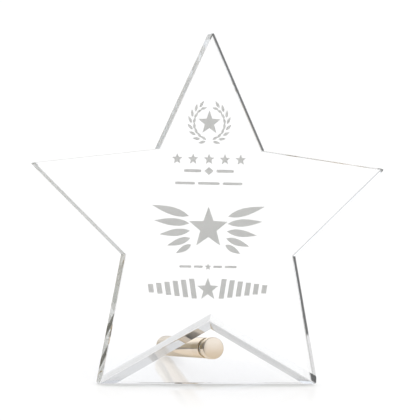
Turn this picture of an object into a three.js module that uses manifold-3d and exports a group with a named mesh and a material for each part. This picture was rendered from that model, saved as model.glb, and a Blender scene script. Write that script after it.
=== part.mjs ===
// Star trophy: a clear star-shaped glass plate that leans back on a gold pole.
//
// The plate is a five-pointed star whose bottom notch is left filled, so the
// lower edge runs straight from foot to foot. A V-groove cut in the front face
// draws the two legs. A gold cap, a threaded brass stud, a clear sleeve and two
// clear washers clamp the pole through a drilled hole in the web between the legs.
//
// Millimetres. +Z is up, the front faces -Y, the origin is the middle of the
// footprint on the table.

import * as THREE from 'three';
import { mergeVertices } from 'three/addons/utils/BufferGeometryUtils.js';
import Module from 'manifold-3d';

// ---------------------------------------------------------------- dimensions
const STAR_R = 112.2;          // centre to each tip of the star
const NOTCH_R = 54.4;          // centre to each notch between two arms
const GLASS_T = 9.5;           // plate thickness
const ARRIS = 0.4;             // chamfer ground on the plate's outline edges
const TIP_ROUND = 0.7;         // radius that blunts the five tips
const LEAN_DEG = 10.5;         // plate leans back from vertical by this much
const REST_FLAT = 0.2;         // depth of the flat ground on the lower back edge

const GROOVE_OUT = 3.4;        // leg line to the groove's edge on the star's side
const GROOVE_IN = 4.3;         // leg line to the groove's edge on the web's side
const GROOVE_MID = -0.3;       // leg line to the deepest line of the groove
const GROOVE_D = 2.6;           // groove depth
const GROOVE_ROOT = 0.55;      // half width of the rounded root left by the wheel
const GROOVE_SAG = 0.2;         // rise from the deepest line to the edge of that root

const HOLE_R = 4.95;           // drilled hole in the web
const HOLE_EDGE = 0.2;         // small countersink on both ends of the hole
const SLEEVE_RO = 4.65;        // clear sleeve that keeps the stud off the glass
const SLEEVE_RI = 4.25;
const STUD_R = 3.95;           // M8 stud
const STUD_IN_CAP = 2.8;       // length of stud inside the cap
const STUD_IN_POLE = 14;       // length of stud inside the pole
const WASHER_R = 5.4;
const WASHER_T = 0.6;
const SEAT_R = 5.7;            // counterbore in the cap and in the pole that hides a washer
const CAP_R = 6.35;
const CAP_T = 4.2;
const CAP_EDGE = 0.6;          // rounded rim of the cap
const POLE_R = 6.0;
const POLE_END = 77;           // back of the glass to the far end of the pole
const POLE_EDGE = 0.5;         // chamfer at the pole's far end
const GAP = 0.3;               // assembly clearance between neighbours

// -------------------------------------------------------------- derived sizes
const LEAN = THREE.MathUtils.degToRad(LEAN_DEG);
const FOOT_Y = -STAR_R * Math.cos(Math.PI / 5);     // lower edge, in the plate
// The pole's far rim and the flat on the lower back edge touch one table top.
const POLE_Y = FOOT_Y + POLE_R +
  ((POLE_END - POLE_EDGE) * Math.sin(LEAN) + REST_FLAT) / Math.cos(LEAN);
const TABLE = FOOT_Y * Math.cos(LEAN) - GLASS_T * Math.sin(LEAN) + REST_FLAT;

// ------------------------------------------------------------------ materials
const glass = () => new THREE.MeshStandardMaterial({
  color: 0xf2f6f5, roughness: 0.02, metalness: 0, transparent: true, opacity: 0.35 });
const gold = () => new THREE.MeshStandardMaterial({
  color: 0xd9bf94, roughness: 0.28, metalness: 1 });
const brass = () => new THREE.MeshStandardMaterial({
  color: 0xc9a96e, roughness: 0.35, metalness: 1 });
const clear = () => new THREE.MeshStandardMaterial({
  color: 0xeef1f0, roughness: 0.15, metalness: 0, transparent: true, opacity: 0.5 });

// ------------------------------------------------------------ solid modelling
const wasm = await Module();
wasm.setup();

function solid(geometry) {
  const g = geometry.index ? geometry.toNonIndexed() : geometry.clone();
  g.deleteAttribute('normal');
  g.deleteAttribute('uv');
  const m = mergeVertices(g, 1e-5);
  return new wasm.Manifold(new wasm.Mesh({
    numProp: 3,
    vertProperties: new Float32Array(m.attributes.position.array),
    triVerts: new Uint32Array(m.index.array),
  }));
}

function geometryOf(manifold) {
  const mesh = manifold.getMesh();
  const g = new THREE.BufferGeometry();
  g.setAttribute('position', new THREE.BufferAttribute(new Float32Array(mesh.vertProperties), 3));
  g.setIndex(new THREE.BufferAttribute(new Uint32Array(mesh.triVerts), 1));
  g.computeVertexNormals();
  return g;
}

// A turned piece on the pole's axis: profile points are [radius, z], listed so
// that the outline closes on itself or starts and ends on the axis.
function turned(profile, segments = 48) {
  const pts = profile.map(([r, z]) => new THREE.Vector2(r, z));
  const g = new THREE.LatheGeometry(pts, segments);
  g.rotateX(Math.PI / 2);                    // lathe axis +Y becomes +Z
  g.rotateZ(Math.PI / 2);                    // a row of vertices points straight down
  return g;
}

// Rounds one convex corner of an outline with short chords.
function rounded(prev, at, next, radius, steps) {
  const a = prev.clone().sub(at).normalize();
  const b = next.clone().sub(at).normalize();
  const half = Math.acos(THREE.MathUtils.clamp(a.dot(b), -1, 1)) / 2;
  const centre = at.clone().addScaledVector(a.clone().add(b).normalize(), radius / Math.sin(half));
  const p0 = at.clone().addScaledVector(a, radius / Math.tan(half));
  const p1 = at.clone().addScaledVector(b, radius / Math.tan(half));
  const a0 = Math.atan2(p0.y - centre.y, p0.x - centre.x);
  let sweep = Math.atan2(p1.y - centre.y, p1.x - centre.x) - a0;
  while (sweep > Math.PI) sweep -= 2 * Math.PI;
  while (sweep < -Math.PI) sweep += 2 * Math.PI;
  const out = [];
  for (let i = 0; i <= steps; i++) {
    const t = a0 + sweep * i / steps;
    out.push(new THREE.Vector2(centre.x + radius * Math.cos(t), centre.y + radius * Math.sin(t)));
  }
  return out;
}

// ---------------------------------------------------------------- star outline
const polar = (r, deg) => new THREE.Vector2(
  r * Math.cos(THREE.MathUtils.degToRad(deg)), r * Math.sin(THREE.MathUtils.degToRad(deg)));
const corners = [];
for (let k = 0; k < 5; k++) {
  corners.push({ p: polar(STAR_R, 90 + 72 * k), tip: true });
  if (k !== 2) corners.push({ p: polar(NOTCH_R, 126 + 72 * k), tip: false });
}
const outline = [];
corners.forEach((c, i) => {
  const prev = corners[(i + corners.length - 1) % corners.length].p;
  const next = corners[(i + 1) % corners.length].p;
  if (c.tip) outline.push(...rounded(prev, c.p, next, TIP_ROUND, 3));
  else outline.push(c.p.clone());
});

// The plate lies between z = -GLASS_T (back) and z = 0 (front).
const blank = new THREE.ExtrudeGeometry(new THREE.Shape(outline), {
  depth: GLASS_T - 2 * ARRIS, steps: 1,
  bevelEnabled: true, bevelThickness: ARRIS, bevelSize: ARRIS, bevelOffset: -ARRIS, bevelSegments: 1,
});
blank.translate(0, 0, -GLASS_T + ARRIS);
let plate = solid(blank);

// V-groove with a slightly rounded root: one prism for each leg line, both cut
// square at x = 0 so that they mitre at the apex, and both run out past the foot.
const apex = new THREE.Vector2(0, -NOTCH_R);
const foot = polar(STAR_R, 306);                       // right foot tip
const legDir = foot.clone().sub(apex).normalize();
const over = 1.0;                                      // cutter stands proud of the face
const rootY = -GROOVE_D + GROOVE_SAG;
const rootIn = GROOVE_MID - GROOVE_ROOT, rootOut = GROOVE_MID + GROOVE_ROOT;
const vee = new THREE.Shape([
  new THREE.Vector2(-GROOVE_IN - (GROOVE_IN + rootIn) * over / -rootY, over),
  new THREE.Vector2(rootIn, rootY),
  new THREE.Vector2(GROOVE_MID, -GROOVE_D),
  new THREE.Vector2(rootOut, rootY),
  new THREE.Vector2(GROOVE_OUT + (GROOVE_OUT - rootOut) * over / -rootY, over)]);
const legLength = foot.distanceTo(apex);
const cutter = new THREE.ExtrudeGeometry(vee, { depth: legLength + 60, steps: 1, bevelEnabled: false });
// shape x -> across the leg line, shape y -> plate normal, extrusion -> along the line
const across = new THREE.Vector3(-legDir.y, legDir.x, 0);
const normal = new THREE.Vector3(0, 0, 1);
const along = new THREE.Vector3().crossVectors(across, normal);
cutter.applyMatrix4(new THREE.Matrix4().makeBasis(across, normal, along));
const alongSign = along.x * legDir.x + along.y * legDir.y > 0 ? 1 : -1;
const start = alongSign > 0
  ? new THREE.Vector3(apex.x - legDir.x * 30, apex.y - legDir.y * 30, 0)
  : new THREE.Vector3(foot.x + legDir.x * 30, foot.y + legDir.y * 30, 0);
cutter.translate(start.x, start.y, start.z);
const halfSpace = new THREE.BoxGeometry(200, 300, 40);
halfSpace.translate(100, 0, 0);
const rightGroove = solid(cutter).intersect(solid(halfSpace));
const grooveGeometry = geometryOf(rightGroove);
const mirrored = grooveGeometry.clone();
mirrored.scale(-1, 1, 1);
const idx = mirrored.index.array;
for (let i = 0; i < idx.length; i += 3) { const t = idx[i]; idx[i] = idx[i + 1]; idx[i + 1] = t; }
plate = plate.subtract(rightGroove.add(solid(mirrored)));

// Drilled hole with a small countersink on both faces.
plate = plate.subtract(solid(turned([
  [0, -GLASS_T - 2], [HOLE_R + 2 + HOLE_EDGE, -GLASS_T - 2], [HOLE_R, -GLASS_T + HOLE_EDGE],
  [HOLE_R, -HOLE_EDGE], [HOLE_R + 2 + HOLE_EDGE, 2], [0, 2]], 48).translate(0, POLE_Y, 0)));

// Flat ground along the lower back edge, level with the table when the plate leans.
const ground = new THREE.BoxGeometry(260, 60, 40);
ground.translate(0, 0, -20);
ground.rotateX(-(Math.PI / 2 - LEAN));
ground.translate(0, TABLE * Math.cos(LEAN), TABLE * Math.sin(LEAN));
plate = plate.subtract(solid(ground));

// ------------------------------------------------------------------- assembly
const trophy = new THREE.Group();
const leaning = new THREE.Group();                    // plate frame: x right, y up the plate, z out of its front
leaning.rotation.x = Math.PI / 2 - LEAN;
trophy.add(leaning);

function piece(name, geometry, material, onAxis = true) {
  const mesh = new THREE.Mesh(geometry, material);
  mesh.name = name;
  if (onAxis) mesh.position.set(0, POLE_Y, 0);
  leaning.add(mesh);
  return mesh;
}

piece('star_plate', geometryOf(plate), glass(), false);

// Front washer, between the cap and the glass.
const fw0 = GAP, fw1 = GAP + WASHER_T;
piece('front_washer', turned([
  [SLEEVE_RI, fw0], [WASHER_R, fw0], [WASHER_R, fw1], [SLEEVE_RI, fw1], [SLEEVE_RI, fw0]]), clear());

// Cap with a washer seat and a blind tapped hole in its back.
const c0 = fw1 + GAP, c1 = c0 + CAP_T;
piece('front_cap', turned([
  [0, c0 + STUD_IN_CAP], [STUD_R + GAP, c0 + STUD_IN_CAP], [STUD_R + GAP, c0], [SEAT_R, c0],
  [SEAT_R, GAP], [CAP_R, GAP],
  [CAP_R, c1 - CAP_EDGE], [CAP_R - CAP_EDGE * 0.3, c1 - CAP_EDGE * 0.3], [CAP_R - CAP_EDGE, c1], [0, c1]]), gold());

// Rear washer, between the glass and the pole.
const rw1 = -GLASS_T - GAP, rw0 = rw1 - WASHER_T;
piece('rear_washer', turned([
  [SLEEVE_RI, rw0], [WASHER_R, rw0], [WASHER_R, rw1], [SLEEVE_RI, rw1], [SLEEVE_RI, rw0]]), clear());

// Sleeve inside the drilled hole.
piece('stud_sleeve', turned([
  [SLEEVE_RI, -GLASS_T], [SLEEVE_RO, -GLASS_T], [SLEEVE_RO, 0], [SLEEVE_RI, 0], [SLEEVE_RI, -GLASS_T]], 40), clear());

// Pole with a washer seat and a blind tapped hole in its front end, and a chamfered far end.
const p1 = rw0 - GAP, p0 = -GLASS_T - POLE_END;
piece('support_pole', turned([
  [0, p0], [POLE_R - POLE_EDGE, p0], [POLE_R, p0 + POLE_EDGE], [POLE_R, -GLASS_T - GAP], [SEAT_R, -GLASS_T - GAP],
  [SEAT_R, p1],
  [STUD_R + GAP, p1], [STUD_R + GAP, p1 - STUD_IN_POLE], [0, p1 - STUD_IN_POLE]]), gold());

// Threaded stud that joins the cap to the pole.
const s1 = c0 + STUD_IN_CAP - GAP, s0 = p1 - STUD_IN_POLE + GAP;
piece('threaded_stud', turned([
  [0, s0], [STUD_R - 0.6, s0], [STUD_R, s0 + 0.6], [STUD_R, s1 - 0.6], [STUD_R - 0.6, s1], [0, s1]], 32), brass());

// ------------------------------------------------ origin: middle of the footprint
trophy.updateMatrixWorld(true);
const box = new THREE.Box3().setFromObject(trophy, true);
leaning.position.set(0, -(box.min.y + box.max.y) / 2, -TABLE);

export default trophy;
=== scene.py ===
# Star trophy: looks. Clear star-shaped glass plate leaning on a gold pole.
import math

import bmesh
import bpy
from mathutils import Matrix, Vector

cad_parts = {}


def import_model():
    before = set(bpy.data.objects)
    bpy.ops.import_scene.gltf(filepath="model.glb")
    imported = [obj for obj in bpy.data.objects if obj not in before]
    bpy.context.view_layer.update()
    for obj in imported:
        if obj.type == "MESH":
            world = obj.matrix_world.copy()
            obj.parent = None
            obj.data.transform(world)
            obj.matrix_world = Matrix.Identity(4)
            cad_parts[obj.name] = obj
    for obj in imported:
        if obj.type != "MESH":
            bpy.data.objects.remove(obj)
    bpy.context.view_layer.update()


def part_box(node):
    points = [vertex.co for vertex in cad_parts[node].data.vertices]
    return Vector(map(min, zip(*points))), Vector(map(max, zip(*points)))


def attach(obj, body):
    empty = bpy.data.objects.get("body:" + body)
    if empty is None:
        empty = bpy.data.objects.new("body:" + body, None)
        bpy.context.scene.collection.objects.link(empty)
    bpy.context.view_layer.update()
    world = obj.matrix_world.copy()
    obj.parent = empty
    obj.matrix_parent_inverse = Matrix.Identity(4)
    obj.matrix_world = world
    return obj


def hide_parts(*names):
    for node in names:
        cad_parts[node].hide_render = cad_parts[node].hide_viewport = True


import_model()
MM = 0.001

# ------------------------------------------------------------------ dimensions
# The same plate frame as the CAD: x right, y up the plate, z out of its front.
STAR_R, NOTCH_R, GLASS_T = 112.2, 54.4, 9.5
ARRIS, TIP_ROUND = 0.4, 0.7
LEAN = math.radians(10.5)
REST_FLAT = 0.2
GROOVE_OUT, GROOVE_IN, GROOVE_MID, GROOVE_D = 3.4, 4.3, -0.3, 2.6
GROOVE_ROOT, GROOVE_SAG = 0.55, 0.2
HOLE_R, HOLE_EDGE = 4.95, 0.2
SLEEVE_RO, SLEEVE_RI, STUD_R = 4.65, 4.25, 3.95
WASHER_R, WASHER_T, SEAT_R = 5.58, 0.6, 5.62
CAP_R, CAP_T = 6.35, 4.2
POLE_R, POLE_END, POLE_EDGE, GAP = 6.0, 77.0, 0.5, 0.3
FOOT_Y = -STAR_R * math.cos(math.pi / 5)
POLE_Y = FOOT_Y + POLE_R + ((POLE_END - POLE_EDGE) * math.sin(LEAN) + REST_FLAT) / math.cos(LEAN)
TABLE = FOOT_Y * math.cos(LEAN) - GLASS_T * math.sin(LEAN) + REST_FLAT

# The far end of the pole says where the plate frame's origin lies front to back.
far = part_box("support_pole")[1].y / MM
Y0 = far - ((POLE_Y + POLE_R - POLE_EDGE) * math.sin(LEAN) + (GLASS_T + POLE_END) * math.cos(LEAN))
PLATE = Matrix.Translation((0, Y0, -TABLE)) @ Matrix.Rotation(math.pi / 2 - LEAN, 4, "X")
WORLD = Matrix.Scale(MM, 4) @ PLATE            # plate millimetres to world metres

# ---------------------------------------------------------------------- camera
YAW, PITCH, ROLL = 0.3293, -0.0191, -0.0098
FOCAL, DIST, SHIFT_X, SHIFT_Y = 4000.0, 2053.55, 0.921, -8.173
UNIT = STAR_R / 100.0


def camera():
    def rot(axis, a):
        return Matrix.Rotation(a, 3, axis)
    m = rot("Z", ROLL) @ rot("X", PITCH) @ rot("Y", YAW)      # plate to camera
    back = m.transposed()
    eye = back @ Vector((-SHIFT_X, -SHIFT_Y, DIST)) * UNIT
    data = bpy.data.cameras.new("camera")
    cam = bpy.data.objects.new("camera", data)
    bpy.context.scene.collection.objects.link(cam)
    data.sensor_width = 36.0
    data.lens = FOCAL / 420.0 * 36.0
    data.clip_start, data.clip_end = 0.05, 200.0
    turn = PLATE.to_3x3() @ back
    place = turn.to_4x4()
    place.translation = (PLATE @ eye) * MM
    cam.matrix_world = place
    bpy.context.scene.camera = cam
    return cam


camera()

# ------------------------------------------------------------------ node helper


class Nodes:
    def __init__(self, tree):
        self.tree = tree
        tree.nodes.clear()

    def add(self, kind, **values):
        n = self.tree.nodes.new(kind)
        for k, v in values.items():
            if k.startswith("_"):
                setattr(n, k[1:], v)
        return n

    def put(self, node, **values):
        for k, v in values.items():
            name = k.replace("_", " ")
            sock = node.inputs[name]
            if isinstance(v, bpy.types.NodeSocket):
                self.tree.links.new(v, sock)
            else:
                sock.default_value = v
        return node

    def link(self, a, b):
        self.tree.links.new(a, b)

    def math(self, op, a, b=None, c=None, clamp=False):
        n = self.tree.nodes.new("ShaderNodeMath")
        n.operation = op
        n.use_clamp = clamp
        for i, v in enumerate((a, b, c)):
            if v is None:
                continue
            if isinstance(v, bpy.types.NodeSocket):
                self.tree.links.new(v, n.inputs[i])
            else:
                n.inputs[i].default_value = v
        return n.outputs[0]

    def ramp(self, value, stops, mode="LINEAR"):
        n = self.tree.nodes.new("ShaderNodeValToRGB")
        n.color_ramp.interpolation = mode
        els = n.color_ramp.elements
        while len(els) > 1:
            els.remove(els[-1])
        els[0].position, els[0].color = stops[0][0], stops[0][1]
        for p, c in stops[1:]:
            e = els.new(p)
            e.color = c
        self.tree.links.new(value, n.inputs[0])
        return n.outputs[0]

    def blend(self, factor, a, b):
        """Colour a where factor is 0, colour b where it is 1."""
        n = self.tree.nodes.new("ShaderNodeMix")
        n.data_type = "RGBA"
        n.clamp_result = False
        for sock, v in ((n.inputs[0], factor), (n.inputs[6], a), (n.inputs[7], b)):
            if isinstance(v, bpy.types.NodeSocket):
                self.tree.links.new(v, sock)
            else:
                sock.default_value = v
        return n.outputs[2]

    def smooth(self, value, lo, hi):
        n = self.tree.nodes.new("ShaderNodeMapRange")
        n.interpolation_type = "SMOOTHSTEP"
        self.tree.links.new(value, n.inputs["Value"])
        n.inputs["From Min"].default_value = lo
        n.inputs["From Max"].default_value = hi
        return n.outputs["Result"]

    def ranged(self, value, lo, hi):
        """0 at lo, 1 at hi, straight between."""
        n = self.tree.nodes.new("ShaderNodeMapRange")
        self.tree.links.new(value, n.inputs["Value"])
        n.inputs["From Min"].default_value = lo
        n.inputs["From Max"].default_value = hi
        return n.outputs["Result"]


def material(name):
    m = bpy.data.materials.new(name)
    m.use_nodes = True
    return m, Nodes(m.node_tree)


# -------------------------------------------------------------------- materials


def plate_coords(n):
    """Position in plate millimetres: x right, y up the plate, z out of its front."""
    tc = n.add("ShaderNodeTexCoord")
    back = n.add("ShaderNodeMapping", _vector_type="TEXTURE")
    n.link(tc.outputs["Object"], back.inputs["Vector"])
    back.inputs["Location"].default_value = (0.0, Y0 * MM, -TABLE * MM)
    back.inputs["Rotation"].default_value = (math.pi / 2 - LEAN, 0.0, 0.0)
    back.inputs["Scale"].default_value = (MM, MM, MM)
    return back.outputs["Vector"]


def noise(n, vector, scale, detail=3.0, rough=0.5, stretch=None):
    if stretch:
        m = n.add("ShaderNodeMapping")
        n.link(vector, m.inputs["Vector"])
        m.inputs["Scale"].default_value = stretch
        vector = m.outputs["Vector"]
    t = n.add("ShaderNodeTexNoise")
    n.link(vector, t.inputs["Vector"])
    n.put(t, Scale=scale, Detail=detail, Roughness=rough)
    return t.outputs["Fac"]


def turned_coords(n):
    """Radius from the pole's axis, position along it, and their sum: one number that
    runs across every turned face, whether it is a side or an end."""
    v = plate_coords(n)
    xyz = n.add("ShaderNodeSeparateXYZ")
    n.link(v, xyz.inputs[0])
    dy = n.math("SUBTRACT", xyz.outputs[1], POLE_Y)
    r = n.math("SQRT", n.math("ADD", n.math("MULTIPLY", xyz.outputs[0], xyz.outputs[0]), n.math("MULTIPLY", dy, dy)))
    return v, r, xyz.outputs[2], n.math("ADD", r, xyz.outputs[2])


def tool_marks(n, s, scale, detail=2.0):
    """Noise along one number: the fine rings a turning tool leaves."""
    t = n.add("ShaderNodeTexNoise", _noise_dimensions="1D")
    n.link(s, t.inputs["W"])
    n.put(t, Scale=scale, Detail=detail, Roughness=0.6)
    return t.outputs["Fac"]


def glass_material():
    """Polished clear glass. The edges and the cut groove keep a faint waviness from the polishing wheel.
    The arrises and the groove's outer side are tinted grey and its inner side darker grey: painted shade."""
    m, n = material("clear_glass")
    out = n.add("ShaderNodeOutputMaterial")
    p = n.add("ShaderNodeBsdfPrincipled")
    n.put(p, Base_Color=(1, 1, 1, 1), Roughness=0.0, IOR=1.52)
    p.inputs["Transmission Weight"].default_value = 1.0
    at = n.add("ShaderNodeAttribute")
    at.attribute_name = "finish"
    finish = at.outputs["Fac"]
    v = plate_coords(n)
    wheel = noise(n, v, 0.5, 2.0, 0.5, (1.0, 1.0, 3.0))
    fine = noise(n, v, 3.0, 3.0, 0.55)
    edge = n.smooth(finish, 0.1, 0.4)
    mottle = n.math("ADD", n.math("MULTIPLY", wheel, 0.5), n.math("MULTIPLY", fine, 0.5))
    # Painted shade: faces above 0.6 (arrises, groove's outer side) are tinted grey, faces above 0.9 (groove's inner
    # side) darker grey, with a random mottle.
    outer = n.ramp(mottle, [(0.3, (0.65, 0.655, 0.66, 1)), (0.7, (0.71, 0.715, 0.72, 1))])
    inner = n.ramp(mottle, [(0.3, (0.52, 0.523, 0.526, 1)), (0.7, (0.58, 0.583, 0.586, 1))])
    tint = n.blend(n.math("GREATER_THAN", finish, 0.6), (1, 1, 1, 1), outer)
    n.link(n.blend(n.math("GREATER_THAN", finish, 0.9), tint, inner), p.inputs["Base Color"])
    bump = n.add("ShaderNodeBump")
    bump.inputs["Distance"].default_value = 0.00001
    n.link(n.math("MULTIPLY", edge, 0.35), bump.inputs["Strength"])
    n.link(n.math("ADD", wheel, n.math("MULTIPLY", fine, 0.25)), bump.inputs["Height"])
    n.link(bump.outputs[0], p.inputs["Normal"])
    n.link(p.outputs[0], out.inputs["Surface"])
    a = n.add("ShaderNodeVolumeAbsorption")
    n.put(a, Color=(0.74, 0.87, 0.85, 1), Density=0.6)
    n.link(a.outputs[0], out.inputs["Volume"])
    return m


def frost_material():
    """Etched face: fine sand-blasted grain with a slight unevenness."""
    m, n = material("etched_frost")
    out = n.add("ShaderNodeOutputMaterial")
    p = n.add("ShaderNodeBsdfPrincipled")
    v = plate_coords(n)
    grain = noise(n, v, 2.6, 4.0, 0.65)
    cloud = noise(n, v, 0.09, 3.0, 0.5)
    t = n.math("ADD", n.math("MULTIPLY", grain, 0.6), n.math("MULTIPLY", cloud, 0.4))
    col = n.ramp(t, [(0.30, (0.86, 0.87, 0.86, 1)), (0.70, (0.97, 0.975, 0.965, 1))])
    n.link(col, p.inputs["Base Color"])
    n.link(n.math("ADD", 0.72, n.math("MULTIPLY", grain, 0.25)), p.inputs["Roughness"])
    p.inputs["Specular IOR Level"].default_value = 0.3
    bump = n.add("ShaderNodeBump")
    n.put(bump, Strength=0.25, Distance=0.0001)
    n.link(grain, bump.inputs["Height"])
    n.link(bump.outputs[0], p.inputs["Normal"])
    n.link(p.outputs[0], out.inputs["Surface"])
    return m


def turned_metal(name, deep, light, edge, rough_lo, rough_hi, rings, depth):
    """Turned and polished metal: fine tool rings, soft tonal clouds, small handling wear."""
    m, n = material(name)
    out = n.add("ShaderNodeOutputMaterial")
    p = n.add("ShaderNodeBsdfPrincipled")
    v, r, z, s = turned_coords(n)
    ring = tool_marks(n, s, rings)
    band = tool_marks(n, s, rings * 0.12)
    cloud = noise(n, v, 0.12, 3.0, 0.55)
    speck = noise(n, v, 5.0, 4.0, 0.7)
    t = n.math("ADD", n.math("MULTIPLY", ring, 0.25), n.math("ADD", n.math("MULTIPLY", band, 0.3), n.math("MULTIPLY", cloud, 0.45)))
    n.link(n.ramp(t, [(0.32, (*deep, 1)), (0.68, (*light, 1))]), p.inputs["Base Color"])
    wear = n.math("ADD", n.math("MULTIPLY", ring, 0.6), n.math("MULTIPLY", speck, 0.4))
    mr = n.add("ShaderNodeMapRange")
    n.link(wear, mr.inputs["Value"])
    for k, val in (("From Min", 0.3), ("From Max", 0.7), ("To Min", rough_lo), ("To Max", rough_hi)):
        mr.inputs[k].default_value = val
    n.link(mr.outputs["Result"], p.inputs["Roughness"])
    p.inputs["Metallic"].default_value = 1.0
    p.inputs["Specular Tint"].default_value = (*edge, 1)
    bump = n.add("ShaderNodeBump")
    n.put(bump, Strength=depth, Distance=0.00001)
    n.link(n.math("ADD", ring, n.math("MULTIPLY", speck, 0.2)), bump.inputs["Height"])
    n.link(bump.outputs[0], p.inputs["Normal"])
    n.link(p.outputs[0], out.inputs["Surface"])
    return m


def clear_material():
    """Clear moulded plastic: a soft mould texture and a slight cloudiness."""
    m, n = material("clear_plastic")
    out = n.add("ShaderNodeOutputMaterial")
    p = n.add("ShaderNodeBsdfPrincipled")
    v = plate_coords(n)
    cloud = noise(n, v, 0.6, 3.0, 0.5)
    grain = noise(n, v, 6.0, 3.0, 0.6)
    n.link(n.ramp(cloud, [(0.3, (0.80, 0.75, 0.60, 1)), (0.7, (0.87, 0.83, 0.69, 1))]), p.inputs["Base Color"])
    n.link(n.math("ADD", 0.04, n.math("MULTIPLY", grain, 0.10)), p.inputs["Roughness"])
    p.inputs["IOR"].default_value = 1.5
    p.inputs["Transmission Weight"].default_value = 1.0
    bump = n.add("ShaderNodeBump")
    n.put(bump, Strength=0.1, Distance=0.00001)
    n.link(grain, bump.inputs["Height"])
    n.link(bump.outputs[0], p.inputs["Normal"])
    n.link(p.outputs[0], out.inputs["Surface"])
    return m


GLASS, FROST, CLEAR = glass_material(), frost_material(), clear_material()
GOLD = turned_metal("gold_metal", (0.765, 0.648, 0.50), (0.825, 0.714, 0.59), (0.98, 0.92, 0.82), 0.085, 0.155, 9.0, 0.10)
BRASS = turned_metal("brass", (0.72, 0.56, 0.34), (0.82, 0.68, 0.46), (0.95, 0.85, 0.65), 0.20, 0.36, 6.0, 0.25)

# ------------------------------------------------------------------- mesh tools


def link_mesh(name, bm, transform=True):
    me = bpy.data.meshes.new(name)
    bm.normal_update()
    bm.to_mesh(me)
    bm.free()
    if transform:
        me.transform(WORLD)
    ob = bpy.data.objects.new(name, me)
    bpy.context.scene.collection.objects.link(ob)
    return ob


def prism(outline, z0, z1):
    """A closed prism over a 2-D outline listed counter-clockwise."""
    bm = bmesh.new()
    low = [bm.verts.new((x, y, z0)) for x, y in outline]
    high = [bm.verts.new((x, y, z1)) for x, y in outline]
    n = len(outline)
    bm.faces.new(list(reversed(low)))
    bm.faces.new(high)
    for i in range(n):
        j = (i + 1) % n
        bm.faces.new((low[i], low[j], high[j], high[i]))
    return bm


def turned(profile, segments=96, y=POLE_Y):
    """A solid of revolution on the pole's axis from [radius, z] points. The profile closes on itself or
    starts and ends on the axis."""
    bm = bmesh.new()
    closed = profile[0] == profile[-1]
    pts = profile[:-1] if closed else profile
    rings = []
    for r, z in pts:
        if r < 1e-6:
            rings.append([bm.verts.new((0, y, z))])
        else:
            rings.append([bm.verts.new((r * math.cos(2 * math.pi * k / segments),
                                        y + r * math.sin(2 * math.pi * k / segments), z))
                          for k in range(segments)])
    count = len(rings)
    pairs = [(i, (i + 1) % count) for i in range(count if closed else count - 1)]
    for i, j in pairs:
        a, b = rings[i], rings[j]
        for k in range(segments):
            l = (k + 1) % segments
            if len(a) == 1 and len(b) == 1:
                continue
            if len(a) == 1:
                bm.faces.new((a[0], b[k], b[l]))
            elif len(b) == 1:
                bm.faces.new((a[k], b[0], a[l]))
            else:
                bm.faces.new((a[k], b[k], b[l], a[l]))
    bmesh.ops.recalc_face_normals(bm, faces=bm.faces)
    return bm


def boolean(ob, cutter, crossing=False):
    """Cuts cutter out of ob. crossing: the cutter's own solids cross each other."""
    mod = ob.modifiers.new("cut", "BOOLEAN")
    mod.operation = "DIFFERENCE"
    mod.solver = "EXACT"
    mod.use_self = crossing
    mod.object = cutter
    bpy.context.view_layer.update()
    dg = bpy.context.evaluated_depsgraph_get()
    me = bpy.data.meshes.new_from_object(ob.evaluated_get(dg))
    ob.modifiers.clear()
    old = ob.data
    ob.data = me
    bpy.data.meshes.remove(old)
    data = cutter.data
    bpy.data.objects.remove(cutter)
    bpy.data.meshes.remove(data)
    return ob


def rounded(prev, at, nxt, radius, steps):
    prev, at, nxt = Vector(prev), Vector(at), Vector(nxt)
    a = (prev - at).normalized()
    b = (nxt - at).normalized()
    half = math.acos(max(-1, min(1, a.dot(b)))) / 2
    centre = at + (a + b).normalized() * radius / math.sin(half)
    p0 = at + a * radius / math.tan(half)
    p1 = at + b * radius / math.tan(half)
    a0 = math.atan2(p0.y - centre.y, p0.x - centre.x)
    sweep = math.atan2(p1.y - centre.y, p1.x - centre.x) - a0
    while sweep > math.pi:
        sweep -= 2 * math.pi
    while sweep < -math.pi:
        sweep += 2 * math.pi
    return [(centre.x + radius * math.cos(a0 + sweep * i / steps),
             centre.y + radius * math.sin(a0 + sweep * i / steps)) for i in range(steps + 1)]


def polar(r, deg):
    return (r * math.cos(math.radians(deg)), r * math.sin(math.radians(deg)))


# ------------------------------------------------------------------- star plate


def star_outline(inset=0.0):
    """The star with its bottom notch left filled, counter-clockwise, moved in by inset."""
    corners = []
    for k in range(5):
        corners.append((polar(STAR_R, 90 + 72 * k), True))
        if k != 2:
            corners.append((polar(NOTCH_R, 126 + 72 * k), False))
    pts = []
    for i, (p, tip) in enumerate(corners):
        prev, nxt = corners[i - 1][0], corners[(i + 1) % len(corners)][0]
        pts += rounded(prev, p, nxt, TIP_ROUND, 6) if tip else [p]
    if not inset:
        return pts
    moved = []
    for i, p in enumerate(pts):
        p, a, b = Vector(p), Vector(pts[i - 1]), Vector(pts[(i + 1) % len(pts)])
        d0, d1 = (p - a).normalized(), (b - p).normalized()
        n0, n1 = Vector((-d0.y, d0.x)), Vector((-d1.y, d1.x))
        m = (n0 + n1).normalized()
        moved.append(tuple(p + m * inset / m.dot(n0)))
    return moved


def stacked(rings):
    """A closed solid from rings of equal length, bottom first."""
    bm = bmesh.new()
    made = [[bm.verts.new(p) for p in ring] for ring in rings]
    n = len(made[0])
    bm.faces.new(list(reversed(made[0])))
    bm.faces.new(made[-1])
    for low, high in zip(made, made[1:]):
        for i in range(n):
            j = (i + 1) % n
            bm.faces.new((low[i], low[j], high[j], high[i]))
    return bm


def plate_blank():
    full, small = star_outline(), star_outline(ARRIS)
    return stacked([[(x, y, z) for x, y in pts] for pts, z in (
        (small, -GLASS_T), (full, -GLASS_T + ARRIS), (full, -ARRIS), (small, 0.0))])


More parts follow.
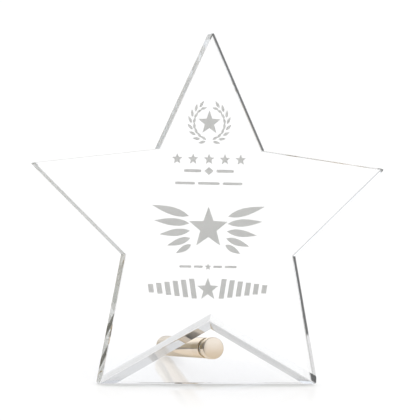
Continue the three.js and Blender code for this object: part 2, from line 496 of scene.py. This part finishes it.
def groove_cutter():
    """The V-groove's two prisms, mitred at the apex. The root is slightly rounded."""
    apex, foot = Vector((0, -NOTCH_R)), Vector(polar(STAR_R, 306))
    d = (foot - apex).normalized()
    across = Vector((-d.y, d.x))
    over = 1.0
    root_z = -GROOVE_D + GROOVE_SAG
    r_in, r_out = GROOVE_MID - GROOVE_ROOT, GROOVE_MID + GROOVE_ROOT
    section = [(-GROOVE_IN - (GROOVE_IN + r_in) * over / -root_z, over), (r_in, root_z)]
    for k in (-2, -1, 0, 1, 2):
        t = k / 3
        section.append((GROOVE_MID + GROOVE_ROOT * t, -GROOVE_D + GROOVE_SAG * t * t))
    section += [(r_out, root_z), (GROOVE_OUT + (GROOVE_OUT - r_out) * over / -root_z, over)]
    bm = bmesh.new()
    rows = []
    for k in (0, 1, 2):                                # left end, mitre at x = 0, right end
        row = []
        for s, z in section:
            base = apex + across * s
            p = base + d * (-base.x / d.x if k == 1 else (foot - apex).length + 12)
            row.append(bm.verts.new((-p.x if k == 0 else p.x, p.y, z)))
        rows.append(row)
    n = len(section)
    for a, b in ((rows[0], rows[1]), (rows[1], rows[2])):
        for i in range(n):
            j = (i + 1) % n
            bm.faces.new((a[i], a[j], b[j], b[i]))
    bm.faces.new(rows[0])
    bm.faces.new(list(reversed(rows[2])))
    bmesh.ops.recalc_face_normals(bm, faces=bm.faces)
    return bm


# The etched marks are generic ornament: outlines in plate millimetres.


def star_shape(cx, cy, r, inner=0.42, turn=90.0, points=5):
    return [(cx + (r if k % 2 == 0 else r * inner) * math.cos(math.radians(turn + 180 / points * k)),
             cy + (r if k % 2 == 0 else r * inner) * math.sin(math.radians(turn + 180 / points * k)))
            for k in range(points * 2)]


def bar(x0, x1, y0, y1, slant=0.0):
    """A bar between y0 and y1; slant leans its ends to the right as they rise."""
    s = slant * (y1 - y0)
    return [(x0, y0), (x1, y0), (x1 + s, y1), (x0 + s, y1)]


def round_bar(x0, x1, cy, h, steps=6):
    r = h / 2
    right = [(x1 - r + r * math.sin(math.pi * k / steps), cy - r * math.cos(math.pi * k / steps)) for k in range(steps + 1)]
    left = [(x0 + r - r * math.sin(math.pi * k / steps), cy + r * math.cos(math.pi * k / steps)) for k in range(steps + 1)]
    return right + left


def lozenge(cx, cy, w, h):
    return [(cx - w / 2, cy), (cx, cy - h / 2), (cx + w / 2, cy), (cx, cy + h / 2)]


def leaf(cx, cy, length, width, angle, steps=7):
    """A pointed leaf that starts at (cx, cy) and runs at angle degrees."""
    a = math.radians(angle)
    pts = []
    for k in range(steps + 1):
        t = k / steps
        pts.append((t * length, -width / 2 * math.sin(math.pi * t ** 0.8)))
    for k in range(steps - 1, 0, -1):
        t = k / steps
        pts.append((t * length, width / 2 * math.sin(math.pi * t ** 0.8)))
    return [(cx + x * math.cos(a) - y * math.sin(a), cy + x * math.sin(a) + y * math.cos(a)) for x, y in pts]


def ornament():
    shapes = []
    # Emblem: a star inside a laurel wreath that is open at the top.
    ex, ey = 0.0, 59.4
    shapes.append(star_shape(ex, ey + 0.2, 7.2, 0.42))
    for side in (-1, 1):
        for k in range(8):
            ang = -78 + 19.2 * k
            r = 10.3
            x, y = ex + side * r * math.cos(math.radians(ang)), ey + r * math.sin(math.radians(ang))
            along = ang + 90
            for off, ln, wd in ((24, 4.6, 1.65), (-20, 3.9, 1.5)):
                a = along - off if side > 0 else 180 - (along - off)
                sx = x + side * (0.55 if off > 0 else -0.55) * math.cos(math.radians(ang))
                sy = y + (0.55 if off > 0 else -0.55) * math.sin(math.radians(ang))
                shapes.append(leaf(sx, sy, ln, wd, a))
    # Five small stars, a rule with a lozenge, a fine broken rule.
    for k in range(-2, 3):
        shapes.append(star_shape(9.7 * k, 38.5, 3.3, 0.45))
    shapes += [lozenge(0, 31.8, 5.6, 4.6), round_bar(-15.2, -4.6, 31.8, 1.7), round_bar(4.6, 15.2, 31.8, 1.7)]
    for x0, x1 in ((-20.5, -8.5), (-6.6, 6.6), (8.5, 20.5)):
        shapes.append(round_bar(x0, x1, 24.6, 1.5))
    # Winged star: five feathers on each side of a large star.
    shapes.append(star_shape(0.0, -1.2, 12.4, 0.42))
    feathers = ((11.8, 5.6, 23.5, 4.6, 15), (11.6, 1.4, 21.6, 4.4, 4), (11.2, -2.9, 18.8, 4.2, -7),
                (10.9, -7.0, 15.0, 3.9, -18), (10.4, -10.8, 10.6, 3.4, -29))
    for x, y, length, width, angle in feathers:
        shapes.append(leaf(x, y, length, width, angle))
        shapes.append(leaf(-x, y, length, width, 180 - angle))
    # A fine row of dashes and dots.
    for x0, x1 in ((-17.5, -10.2), (-8.6, -3.2), (3.2, 8.6), (10.2, 17.5)):
        shapes.append(round_bar(x0, x1, -23.5, 1.3))
    shapes.append(star_shape(0.0, -23.6, 2.1, 0.45))
    # Blank name ribbon: star in the middle, slanted bars that grow shorter outwards.
    shapes.append(star_shape(0.0, -36.6, 6.8, 0.42))
    for side in (-1, 1):
        for k in range(6):
            x0 = 6.6 + 5.2 * k
            h = 11.4 - 1.3 * k
            pts = bar(x0, x0 + 3.1, -36.2 - h / 2, -36.2 + h / 2, 0.16)
            shapes.append([(side * x, y) for x, y in pts])
    return shapes


def ornament_cutter():
    bm = bmesh.new()
    for pts in ornament():
        area = sum(a[0] * b[1] - b[0] * a[1] for a, b in zip(pts, pts[1:] + pts[:1]))
        if area < 0:
            pts = list(reversed(pts))
        low = [bm.verts.new((x, y, -GLASS_T - 0.5)) for x, y in pts]
        high = [bm.verts.new((x, y, -GLASS_T + ETCH)) for x, y in pts]
        n = len(pts)
        bm.faces.new(list(reversed(low)))
        bm.faces.new(high)
        for i in range(n):
            j = (i + 1) % n
            bm.faces.new((low[i], low[j], high[j], high[i]))
    return bm


ETCH = 0.25                                            # depth of the etched marks


def make_plate():
    ob = link_mesh("star_glass", plate_blank(), False)
    boolean(ob, link_mesh("cut_groove", groove_cutter(), False))
    hole = turned([[0, -GLASS_T - 2], [HOLE_R + 2 + HOLE_EDGE, -GLASS_T - 2], [HOLE_R, -GLASS_T + HOLE_EDGE], [HOLE_R, -HOLE_EDGE],
                   [HOLE_R + 2 + HOLE_EDGE, 2], [0, 2]], 96)
    boolean(ob, link_mesh("cut_hole", hole, False))
    bm = bmesh.new()
    bmesh.ops.create_cube(bm, size=1)
    bmesh.ops.scale(bm, vec=(260, 60, 40), verts=bm.verts)
    bmesh.ops.translate(bm, vec=(0, 0, -20), verts=bm.verts)
    bmesh.ops.rotate(bm, matrix=Matrix.Rotation(-(math.pi / 2 - LEAN), 3, "X"), verts=bm.verts)
    bmesh.ops.translate(bm, vec=(0, TABLE * math.cos(LEAN), TABLE * math.sin(LEAN)), verts=bm.verts)
    boolean(ob, link_mesh("cut_ground", bm, False))
    boolean(ob, link_mesh("cut_marks", ornament_cutter(), False), True)
    ob.data.materials.clear()
    ob.data.materials.append(GLASS)
    ob.data.materials.append(FROST)
    for p in ob.data.polygons:
        deep = -GLASS_T + 0.001 < p.center.z < -GLASS_T + ETCH + 0.01
        square = abs(p.normal.z) > 0.999 or abs(p.normal.z) < 0.001
        p.material_index = 1 if deep and square and -45 < p.center.y < 75 else 0
    # Which kind each face is, for the polishing waviness and the painted shade: 0 polished float glass,
    # 0.4 polished edge, 0.8 arris and outer side of the groove (tinted grey), 1 inner side of the groove (darker
    # grey).
    finish = ob.data.attributes.new("finish", "FLOAT", "FACE")
    for p in ob.data.polygons:
        groove = 0.75 < p.normal.z < 0.9995 and -GROOVE_D - 0.05 < p.center.z < 0
        arris = 0.69 < abs(p.normal.z) < 0.72
        value = (1.0 if p.normal.y > 0 else 0.8) if groove else 0.8 if arris else 0.4
        finish.data[p.index].value = 0.0 if abs(p.normal.z) > 0.9995 else value
    ob.data.transform(WORLD)
    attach(ob, "root")
    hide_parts("star_plate")
    return ob


plate = make_plate()


def smooth_round(ob, angle=40):
    for p in ob.data.polygons:
        p.use_smooth = True
    ob.data.set_sharp_from_angle(angle=math.radians(angle))


def turned_piece(name, profile, mat, node, segments=96):
    ob = link_mesh(name, turned(profile, segments))
    ob.data.materials.append(mat)
    smooth_round(ob)
    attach(ob, "root")
    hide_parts(node)
    return ob


def threaded(name, radius, pitch, depth, z0, z1, mat, node, segments=72, per_pitch=8):
    """A stud with a real helical thread and chamfered ends."""
    bm = bmesh.new()
    rows = max(2, int(round((z1 - z0) / pitch * per_pitch)))
    rings = []
    for i in range(rows + 1):
        z = z0 + (z1 - z0) * i / rows
        ring = []
        for k in range(segments):
            a = 2 * math.pi * k / segments
            t = (z / pitch - k / segments) % 1.0
            flank = min(1.0, max(0.0, (abs(t - 0.5) * 2 - 0.08) / 0.80))     # 0 on the crest, 1 in the root
            r = radius - depth * flank
            r = min(r, radius - depth - 0.25 + min(z - z0, z1 - z) * 1.0)
            ring.append(bm.verts.new((r * math.cos(a), POLE_Y + r * math.sin(a), z)))
        rings.append(ring)
    for low, high in zip(rings, rings[1:]):
        for k in range(segments):
            l = (k + 1) % segments
            bm.faces.new((low[k], low[l], high[l], high[k]))
    bm.faces.new(list(reversed(rings[0])))
    bm.faces.new(rings[-1])
    ob = link_mesh(name, bm)
    ob.data.materials.append(mat)
    smooth_round(ob, 35)
    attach(ob, "root")
    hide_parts(node)
    return ob


# Stack on the pole's axis, from the front. Each face stands 0.02 mm off its neighbour.
# The washers sit in counterbores in the cap and in the pole.
fw0, fw1 = 0.02, GAP + WASHER_T
turned_piece("front_washer_clear", [[SLEEVE_RI, fw0], [WASHER_R, fw0], [WASHER_R, fw1], [SLEEVE_RI, fw1], [SLEEVE_RI, fw0]],
             CLEAR, "front_washer")
c0, c1 = fw1 + 0.02, fw1 + GAP + CAP_T
cap = [[0, c0 + 2.8], [STUD_R + GAP, c0 + 2.8], [STUD_R + GAP, c0], [SEAT_R, c0], [SEAT_R, 0.02],
       [CAP_R - 0.12, 0.02], [CAP_R, 0.14]]
for k in range(7):                                     # rounded rim, then a face with a slight crown
    a = math.radians(15 * k)
    cap.append([CAP_R - 0.6 + 0.6 * math.cos(a), c1 - 0.34 - 0.6 + 0.6 * math.sin(a)])
for k in range(1, 9):
    r = (CAP_R - 0.6) * (1 - k / 8)
    cap.append([max(r, 0), c1 - 0.34 * (r / (CAP_R - 0.6)) ** 2])
turned_piece("gold_cap", cap, GOLD, "front_cap", 128)
rw1, rw0 = -GLASS_T - 0.02, -GLASS_T - GAP - WASHER_T
turned_piece("rear_washer_clear", [[SLEEVE_RI, rw0], [WASHER_R, rw0], [WASHER_R, rw1], [SLEEVE_RI, rw1], [SLEEVE_RI, rw0]],
             CLEAR, "rear_washer")
turned_piece("clear_sleeve", [[SLEEVE_RI, -GLASS_T], [SLEEVE_RO, -GLASS_T], [SLEEVE_RO, 0], [SLEEVE_RI, 0], [SLEEVE_RI, -GLASS_T]],
             CLEAR, "stud_sleeve")
p1, p0 = rw0 - 0.02, -GLASS_T - POLE_END
turned_piece("gold_pole", [[0, p0], [POLE_R - POLE_EDGE, p0], [POLE_R - 0.12, p0 + POLE_EDGE - 0.12], [POLE_R, p0 + POLE_EDGE + 0.15],
                           [POLE_R, -GLASS_T - 0.12], [POLE_R - 0.1, -GLASS_T - 0.02], [SEAT_R, -GLASS_T - 0.02],
                           [SEAT_R, p1], [STUD_R + GAP, p1], [STUD_R + GAP, p1 - 14], [0, p1 - 14]],
             GOLD, "support_pole", 128)
threaded("brass_stud", STUD_R, 1.25, 0.68, p1 - 13.7, c0 + 2.5, BRASS, "threaded_stud")

# ------------------------------------------------------------------------ stage


def floor():
    """White board. Polished faces see it as a glow with painted light and shade, and also see past its back edge,
    into the studio.
    """
    bm = bmesh.new()
    s = 30.0
    vs = [bm.verts.new((x, y, -0.0002)) for x, y in ((-s, -s), (s, -s), (s, s), (-s, s))]
    bm.faces.new(vs)
    ob = link_mesh("floor", bm, False)
    m, n = material("floor_white")
    out = n.add("ShaderNodeOutputMaterial")
    matte = n.add("ShaderNodeBsdfDiffuse")
    n.put(matte, Color=(0.30, 0.30, 0.30, 1))
    glow = n.add("ShaderNodeBsdfTranslucent")
    lit = n.add("ShaderNodeAddShader")
    n.link(matte.outputs[0], lit.inputs[0])
    n.link(glow.outputs[0], lit.inputs[1])
    sheen = n.add("ShaderNodeBsdfGlossy")
    n.put(sheen, Color=(1, 1, 1, 1), Roughness=0.03)
    plain = n.add("ShaderNodeMixShader")
    n.link(lit.outputs[0], plain.inputs[1])
    n.link(sheen.outputs[0], plain.inputs[2])
    geo = n.add("ShaderNodeNewGeometry")
    xyz = n.add("ShaderNodeSeparateXYZ")
    n.link(geo.outputs["Position"], xyz.inputs[0])
    # The board is polished where the star stands; the sheen dies away all round it.
    far = n.add("ShaderNodeVectorMath")
    far.operation = "LENGTH"
    n.link(geo.outputs["Position"], far.inputs[0])
    n.link(n.ramp(n.ranged(far.outputs["Value"], 0.0, 0.18), [(0.0, grey(0.31)), (0.21, grey(0.31)), (0.27, grey(0.27)), (0.33, grey(0.16)), (0.43, grey(0.10)), (0.56, grey(0.05)), (0.74, grey(0.015)), (0.92, grey(0.0))]), plain.inputs[0])
    # The board is opal and lit from below. Painted contact shade: an occlusion node darkens that glow's colour where
    # something stands on it.
    painted_contact_shade = n.add("ShaderNodeAmbientOcclusion")
    painted_contact_shade.samples = 12
    n.put(painted_contact_shade, Distance=0.006)
    n.link(n.math("ADD", 0.50, n.math("MULTIPLY", painted_contact_shade.outputs["AO"], 0.16)), glow.inputs["Color"])
    bow = n.math("MULTIPLY", n.math("SUBTRACT", 1.0, n.smooth(xyz.outputs[0], 0.0, 0.03)), 0.008)
    edge = n.smooth(n.math("ADD", xyz.outputs[1], bow), 0.047, 0.054)
    graze = n.add("ShaderNodeLayerWeight")
    edge = n.math("MAXIMUM", edge, n.smooth(graze.outputs["Facing"], 0.86, 0.93))
    # Mirrored rays see a glowing board in place of the lit floor; its colour is painted light and shade, bluish
    # bright up to the middle and grey to the right.
    painted_board_glow = n.add("ShaderNodeEmission")
    board_light_and_shade = n.ramp(n.smooth(xyz.outputs[0], 0.005, 0.05), [(0.0, (0.935, 0.95, 0.985, 1)), (1.0, grey(0.74))])
    # Painted shadow: under the pole the glowing board is painted a warm dark where the pole's shade would fall.
    shade = n.ramp(n.ranged(xyz.outputs[0], -0.03, 0.03), [(0.0, (0.92, 0.95, 1.02, 1)), (0.22, (0.93, 0.93, 0.97, 1)), (0.35, (0.92, 0.89, 0.88, 1)), (0.45, (0.88, 0.83, 0.77, 1)), (0.54, (0.62, 0.56, 0.46, 1)), (0.70, (0.62, 0.56, 0.46, 1)), (0.85, grey(0.80))])
    board_light_and_shade = n.blend(n.math("MULTIPLY", n.smooth(xyz.outputs[1], -0.016, -0.006), n.math("SUBTRACT", 1.0, n.smooth(n.math("ABSOLUTE", xyz.outputs[0]), 0.024, 0.03))), board_light_and_shade, shade)
    # Painted light: towards the front the glow turns a dimmer, warmer colour.
    front = n.smooth(n.math("MULTIPLY", xyz.outputs[1], -1.0), 0.08, 0.2)
    n.link(n.blend(front, board_light_and_shade, (0.78, 0.72, 0.64, 1)), painted_board_glow.inputs["Color"])
    past = n.add("ShaderNodeBsdfTransparent")
    board = n.add("ShaderNodeMixShader")
    n.link(edge, board.inputs[0])
    n.link(painted_board_glow.outputs[0], board.inputs[1])
    n.link(past.outputs[0], board.inputs[2])
    lp = n.add("ShaderNodeLightPath")
    mirror = n.math("GREATER_THAN", lp.outputs["Glossy Depth"], 0.5)
    mix = n.add("ShaderNodeMixShader")
    n.link(mirror, mix.inputs[0])
    n.link(plain.outputs[0], mix.inputs[1])
    n.link(board.outputs[0], mix.inputs[2])
    n.link(mix.outputs[0], out.inputs["Surface"])
    ob.data.materials.append(m)
    return ob


def grey(v):
    return (v, v, v, 1)


def world():
    w = bpy.data.worlds.new("studio")
    bpy.context.scene.world = w
    w.use_nodes = True
    n = Nodes(w.node_tree)
    out = n.add("ShaderNodeOutputWorld")
    bg = n.add("ShaderNodeBackground")
    n.link(bg.outputs[0], out.inputs["Surface"])
    tc = n.add("ShaderNodeTexCoord")
    xyz = n.add("ShaderNodeSeparateXYZ")
    n.link(tc.outputs["Generated"], xyz.inputs[0])
    x, y, z = xyz.outputs

    def lobe(direction, inner, outer):
        """1 within inner degrees of a direction, 0 beyond outer degrees."""
        d = n.add("ShaderNodeVectorMath")
        d.operation = "DOT_PRODUCT"
        n.link(tc.outputs["Generated"], d.inputs[0])
        d.inputs[1].default_value = Vector(direction).normalized()
        return n.smooth(d.outputs["Value"], math.cos(math.radians(outer)), math.cos(math.radians(inner)))

    # Refracted view: a bright wall that falls off to the left.
    through = n.ramp(n.smooth(x, 0.0, 0.57), [(0.0, grey(0.97)), (1.0, grey(1.22))])
    # Mirrored view, behind the star: a soft bright wall that darkens to the left.
    wall = n.ramp(n.smooth(z, 0.05, 0.6), [(0.0, grey(0.84)), (1.0, grey(1.0))])
    left = n.math("MULTIPLY", x, -1.0)
    below = n.ramp(left, [(0.02, grey(1.0)), (0.08, grey(0.30)), (0.25, grey(0.19)), (0.8, grey(0.05))])
    low = n.ramp(left, [(0.08, grey(1.0)), (0.15, (0.57, 0.54, 0.45, 1)), (0.30, (0.42, 0.395, 0.30, 1)), (0.45, grey(0.22)), (0.8, grey(0.05))])
    middle = n.ramp(left, [(0.14, (1.0, 1.02, 1.08, 1)), (0.23, (0.58, 0.56, 0.50, 1)), (0.32, grey(0.33)), (0.6, grey(0.2)), (0.85, grey(0.05))])
    high = n.ramp(left, [(0.0, grey(0.40)), (0.28, grey(0.33)), (0.6, grey(0.2)), (0.85, grey(0.05))])
    shade = n.blend(n.smooth(z, -0.24, -0.19), below, low)
    shade = n.blend(n.smooth(z, -0.02, 0.02), shade, middle)
    shade = n.blend(n.math("MULTIPLY", n.smooth(z, 0.2, 0.28), n.smooth(left, -0.34, 0.0)), shade, high)
    behind = n.add("ShaderNodeMix")
    behind.data_type = "RGBA"
    behind.blend_type = "MULTIPLY"
    behind.inputs[0].default_value = 1.0
    n.link(wall, behind.inputs[6])
    n.link(shade, behind.inputs[7])
    # A strip of light straight behind, low over the board.
    back = n.blend(lobe((0.10, 0.985, 0.12), 6, 15), behind.outputs[2], (1.20, 1.25, 1.33, 1))
    # In front: bright and brighter upwards, dark around the camera on the left.
    ahead = n.ramp(n.smooth(z, -0.05, 0.35), [(0.0, (0.83, 0.79, 0.73, 1)), (0.35, (0.955, 0.95, 0.965, 1)), (1.0, (1.12, 1.19, 1.31, 1))])
    ahead = n.blend(lobe((-0.45, -0.86, 0.2), 18, 38), ahead, grey(0.04))
    front = n.smooth(n.math("MULTIPLY", y, -1.0), 0.0, 0.4)
    mirrored = n.blend(front, back, ahead)
    deep = n.smooth(lp_depth(n), 2.0, 3.0)
    inner = n.blend(lobe((-0.13, 0.985, 0.10), 4, 9), grey(0.62), (0.22, 0.19, 0.12, 1))
    mirrored = n.blend(deep, mirrored, inner)
    # A black flag on the right.
    mirrored = n.blend(lobe((0.922, -0.228, 0.31), 5, 10), mirrored, grey(0.07))
    lp = n.add("ShaderNodeLightPath")
    mirror = n.math("GREATER_THAN", lp.outputs["Glossy Depth"], 0.5)
    seen = n.blend(mirror, through, mirrored)
    # What lights the floor: an even studio under a wide soft box.
    light = n.blend(lobe((0.25, 0.10, 1.0), 15, 60), (0.84, 0.828, 0.805, 1), (1.7, 1.685, 1.66, 1))
    seen = n.blend(n.math("GREATER_THAN", lp.outputs["Diffuse Depth"], 0.5), seen, light)
    n.link(n.blend(lp.outputs["Is Camera Ray"], seen, grey(1.08)), bg.inputs["Color"])


def lp_depth(n):
    return n.add("ShaderNodeLightPath").outputs["Glossy Depth"]


floor()
world()

scene = bpy.context.scene
scene.view_settings.view_transform = "Standard"
scene.view_settings.look = "None"
scene.cycles.max_bounces = 48
scene.cycles.glossy_bounces = 48
scene.cycles.transmission_bounces = 48
scene.cycles.transparent_max_bounces = 16
scene.cycles.diffuse_bounces = 4
scene.cycles.sample_clamp_indirect = 0.0
